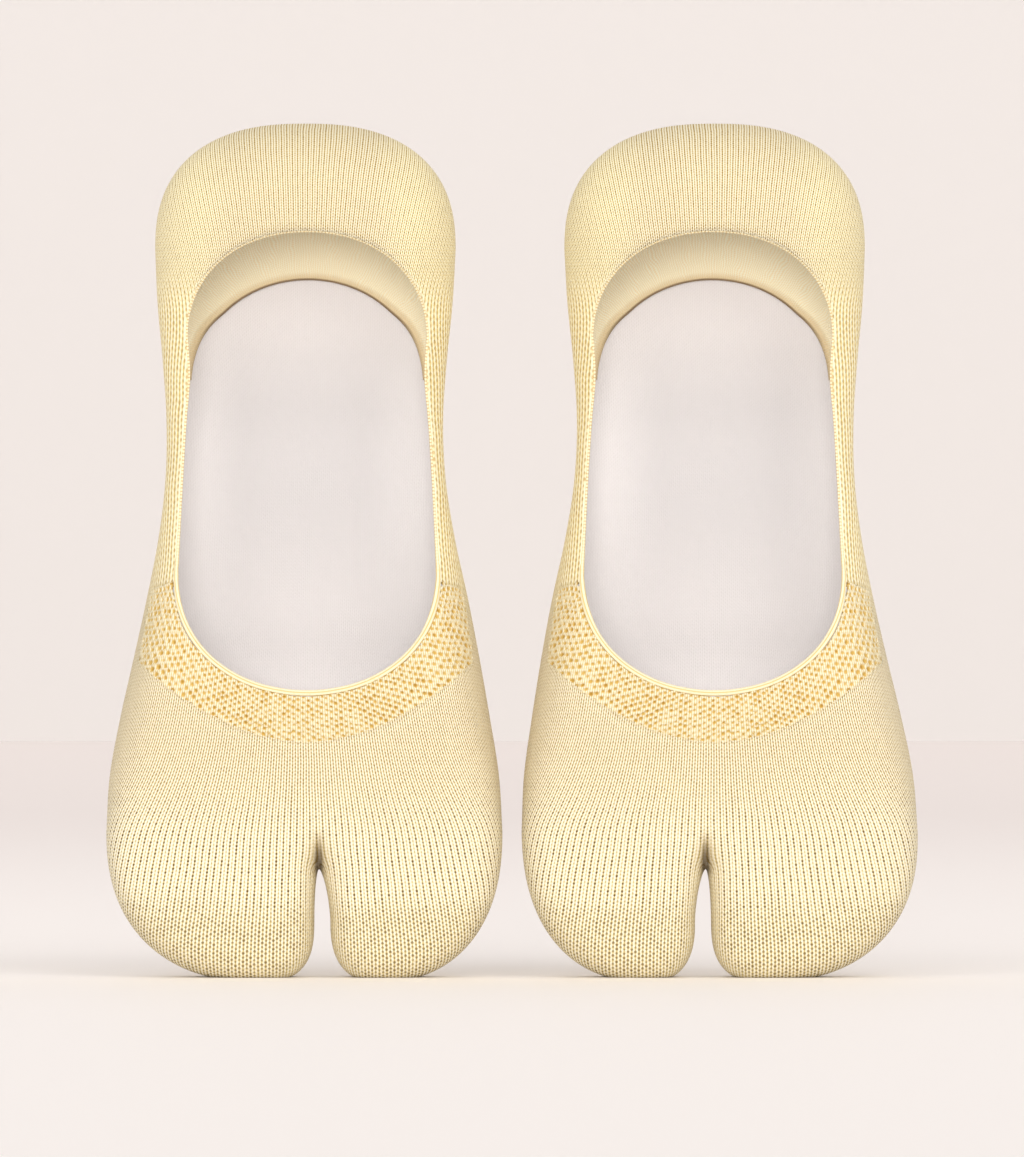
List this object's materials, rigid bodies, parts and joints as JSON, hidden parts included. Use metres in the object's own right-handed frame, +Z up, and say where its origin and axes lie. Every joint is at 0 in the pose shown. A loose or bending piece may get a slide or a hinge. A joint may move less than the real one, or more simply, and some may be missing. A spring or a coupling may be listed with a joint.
{
  "type": "pair of tabi socks",
  "caption": "Pair of split-toe no-show socks in yellow knit, filled out and standing on their toes, with open-mesh throat bands and lined heels.",
  "frame": {"origin": "on the floor, in the middle of the pair's footprint", "axes": "+Z up towards the heels, -Y the way the openings face, +X towards the left sock, on the viewer's right"},
  "size_m": [0.2188, 0.0452, 0.23],
  "materials": {
    "foot_knit": "fine matt plain knit",
    "mesh_knit": "coarse open knit",
    "elastic_edge": "fine ribbed elastic",
    "heel_lining": "smooth fine knit"
  },
  "bodies": {
    "root": {"right_foot": "foot_knit", "right_throat_band": "mesh_knit", "right_elastic_edge": "elastic_edge", "right_heel_lining": "heel_lining", "left_foot": "foot_knit", "left_throat_band": "mesh_knit", "left_elastic_edge": "elastic_edge", "left_heel_lining": "heel_lining"}
  },
  "joints": []
}
